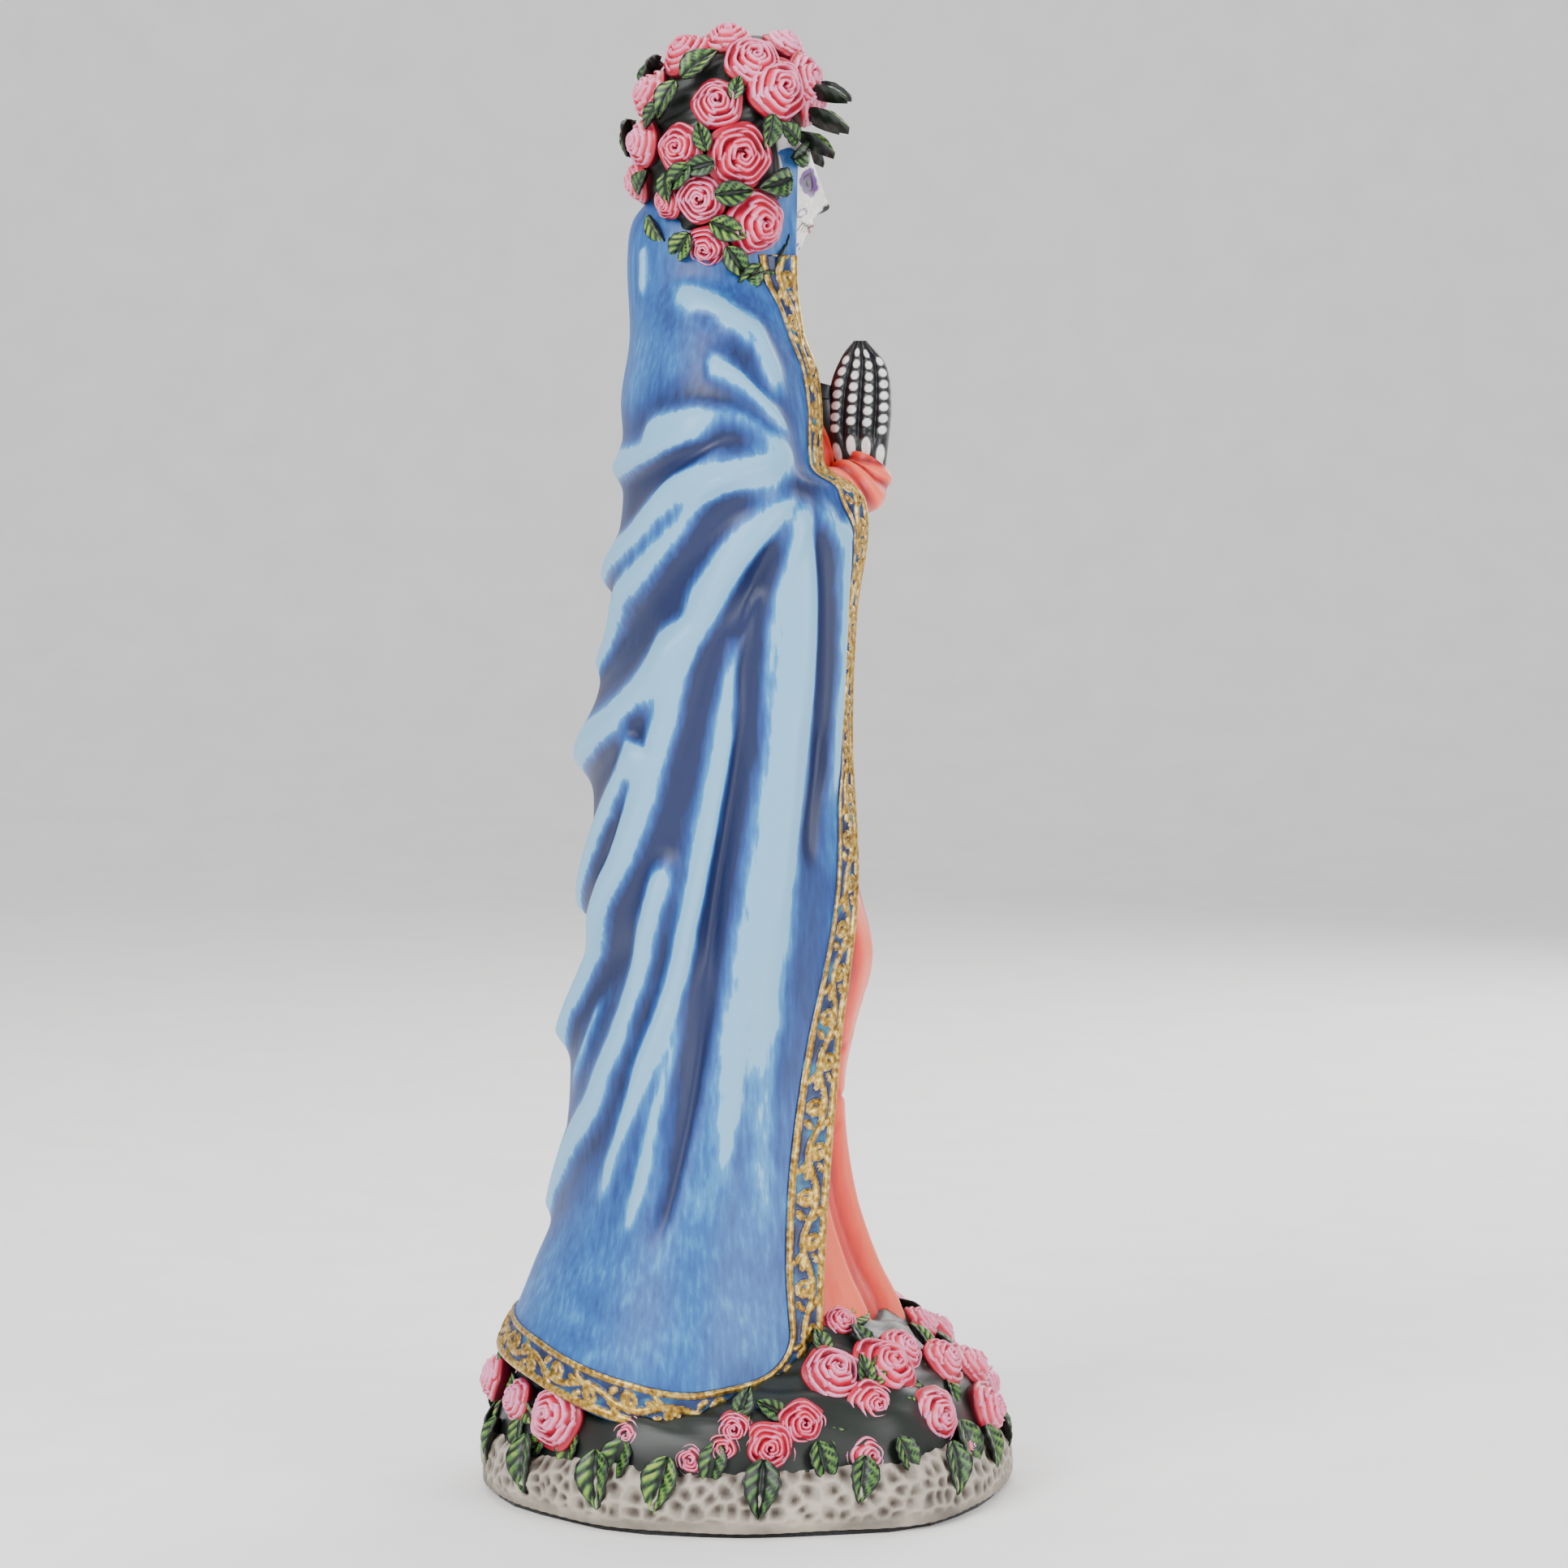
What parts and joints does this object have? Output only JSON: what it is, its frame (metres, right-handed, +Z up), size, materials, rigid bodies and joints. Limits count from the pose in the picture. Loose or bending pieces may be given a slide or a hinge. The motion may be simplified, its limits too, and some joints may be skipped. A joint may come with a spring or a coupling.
{
  "type": "devotional figurine",
  "caption": "Standing robed figurine in a long mantle with praying hands and a crown of roses, on a round stone-like base heaped with roses and leaves.",
  "frame": {"origin": "centre of the flat underside of the felt pad, on the plane that the figurine stands on", "axes": "+Z up, +X towards the figure's left hand side, -Y the way the figure looks"},
  "size_m": [0.1122, 0.1066, 0.2901],
  "materials": {
    "painted_resin": "hand-painted cold-cast resin, satin",
    "felt": "black felt",
    "mantle_blue": "blue paint with a dark wash and light dry-brushed folds",
    "border_gold": "gold paint on raised scrolls over navy",
    "robe_red": "orange-red paint with a darker wash in the folds",
    "rose_pink": "crimson paint with pearly pink rims",
    "leaf_green": "green paint with a near-black wash",
    "face_white": "white paint with painted make-up",
    "hand_black": "black paint with white painted bones",
    "base_stone": "stone-coloured paint with a dark wash in the pits"
  },
  "bodies": {
    "root": {"figurine": "painted_resin", "felt_pad": "felt"}
  },
  "joints": []
}
